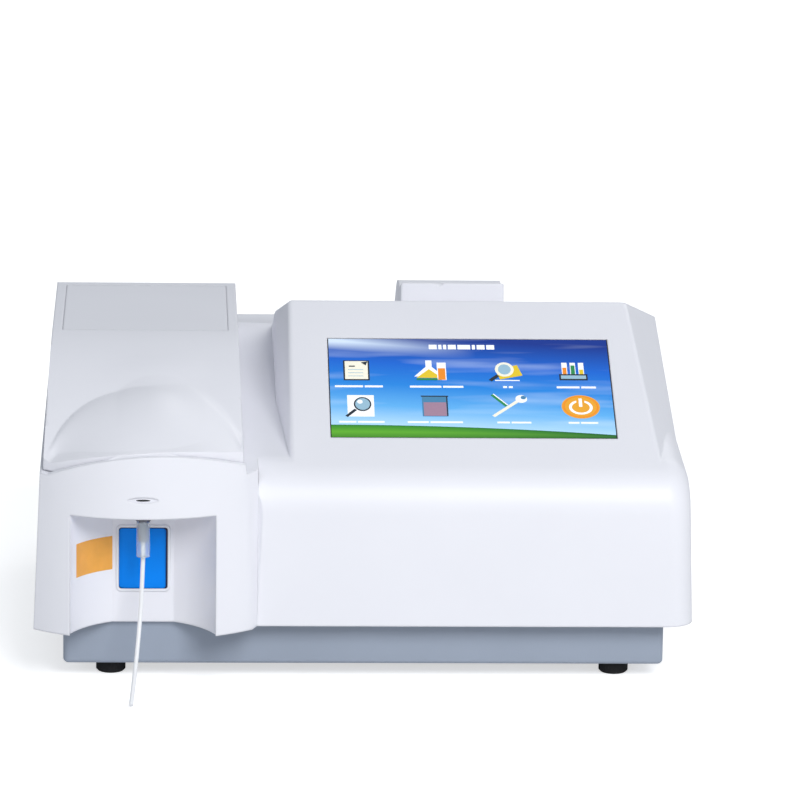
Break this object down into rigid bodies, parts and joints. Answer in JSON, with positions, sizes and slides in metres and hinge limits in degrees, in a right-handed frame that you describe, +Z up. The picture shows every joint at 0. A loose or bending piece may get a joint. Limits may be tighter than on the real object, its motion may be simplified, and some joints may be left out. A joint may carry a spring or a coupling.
{
  "type": "portable chemistry analyzer",
  "caption": "Bench-top chemistry analyzer with a sampling tower, sipper needle and blue aspirate key, tilted touch screen, small paper printer and flow-cell optics under a lid.",
  "frame": {"origin": "middle of the case's outline, on the plane that the feet stand on", "axes": "+X to the right as seen from the front, +Y to the back, +Z up"},
  "size_m": [0.356, 0.3276, 0.1838],
  "materials": {
    "housing": "fine satin, moulded",
    "tray_paint": "powder coat",
    "panel_paint": "powder coat",
    "foot_rubber": "matte",
    "steel": "zinc plated",
    "key_blue": "smooth",
    "black_plastic": "moulded",
    "screen_glass": "polished touch panel, opaque where the display shows",
    "light_metal": "machined",
    "dark_metal": "black anodised",
    "clear": "polished",
    "paper": "thermal paper",
    "tubing": "soft silicone",
    "needle_line": "fine smooth tube",
    "board_green": "solder mask",
    "connector": "moulded",
    "filter_glass": "coated"
  },
  "bodies": {
    "case": {"top_cover": "housing", "lid_bracket": "steel", "lid_pins": "steel", "base_tray": "tray_paint", "foot_front_left": "foot_rubber", "foot_front_right": "foot_rubber", "foot_rear_left": "foot_rubber", "foot_rear_right": "foot_rubber", "foot_screws": "steel", "case_screws": "steel", "rear_panel": "panel_paint", "power_inlet": "black_plastic", "switch_frame": "black_plastic", "fan_frame": "black_plastic", "fan_guard": "steel", "serial_port": "steel", "usb_ports": "steel", "waste_outlet": "connector", "key_guide": "steel", "key_switch": "black_plastic", "sipper_nut": "light_metal", "sipper_barrel": "light_metal", "sipper_sleeve": "clear", "sipper_tube": "needle_line", "touch_glass": "screen_glass", "lcd_module": "steel", "lcd_bracket": "steel", "door_pin": "steel", "printer_frame": "black_plastic", "thermal_head": "light_metal", "paper_roll": "paper", "printer_motor": "steel", "optics_base": "light_metal", "detector_block": "dark_metal", "cell_holder": "dark_metal", "flow_cell": "clear", "lens_tube": "dark_metal", "condenser_lens": "clear", "filter_motor": "steel", "lamp_house": "light_metal", "lamp": "clear", "pump_bracket": "steel", "pump_body": "connector", "pump_motor": "steel", "pump_tube": "tubing", "fluid_lines": "tubing", "main_board": "board_green", "power_supply": "steel"},
    "lid": {"tower_lid": "housing"},
    "printer_door": {"printer_door": "housing"},
    "platen": {"platen_roller": "foot_rubber"},
    "aspirate_key": {"aspirate_key": "key_blue"},
    "rocker": {"power_rocker": "black_plastic"},
    "fan": {"fan_rotor": "black_plastic"},
    "filter_wheel": {"filter_wheel": "dark_metal", "filter_glasses": "filter_glass"},
    "pump_rotor": {"pump_rotor": "black_plastic"},
    "pump_roller_1": {"pump_roller_1": "connector"},
    "pump_roller_2": {"pump_roller_2": "connector"},
    "pump_roller_3": {"pump_roller_3": "connector"}
  },
  "joints": [
    {"name": "lid_hinge", "type": "hinge", "parent": "case", "child": "lid", "pos_m": [-0.1195, 0.124, 0.1485], "axis": [-1, 0, 0], "range_deg": [0, 85]},
    {"name": "printer_door_hinge", "type": "hinge", "parent": "case", "child": "printer_door", "pos_m": [0.054, 0.116, 0.1475], "axis": [-1, 0, 0], "range_deg": [0, 70]},
    {"name": "platen_spin", "type": "hinge", "parent": "printer_door", "child": "platen", "pos_m": [0.054, 0.0546, 0.1656], "axis": [1, 0, 0], "continuous": true},
    {"name": "aspirate_press", "type": "slide", "parent": "case", "child": "aspirate_key", "axis": [0, 1, 0], "range_m": [0, 0.0015], "stiffness_N_per_m": 600, "springref_m": -0.001},
    {"name": "rocker_tilt", "type": "hinge", "parent": "case", "child": "rocker", "pos_m": [0.088, 0.1415, 0.066], "axis": [1, 0, 0], "range_deg": [0, 16]},
    {"name": "fan_spin", "type": "hinge", "parent": "case", "child": "fan", "pos_m": [0.026, 0.136, 0.084], "axis": [0, 1, 0], "continuous": true},
    {"name": "filter_wheel_spin", "type": "hinge", "parent": "case", "child": "filter_wheel", "pos_m": [-0.0975, 0.0865, 0.09], "axis": [0, 1, 0], "continuous": true},
    {"name": "pump_spin", "type": "hinge", "parent": "case", "child": "pump_rotor", "pos_m": [-0.1195, -0.062, 0.104], "axis": [0, 0, 1], "continuous": true},
    {"name": "pump_roller_1_spin", "type": "hinge", "parent": "pump_rotor", "child": "pump_roller_1", "pos_m": [-0.105, -0.062, 0.104], "axis": [0, 0, 1], "continuous": true},
    {"name": "pump_roller_2_spin", "type": "hinge", "parent": "pump_rotor", "child": "pump_roller_2", "pos_m": [-0.12675, -0.04944, 0.104], "axis": [0, 0, 1], "continuous": true},
    {"name": "pump_roller_3_spin", "type": "hinge", "parent": "pump_rotor", "child": "pump_roller_3", "pos_m": [-0.12675, -0.07456, 0.104], "axis": [0, 0, 1], "continuous": true}
  ]
}
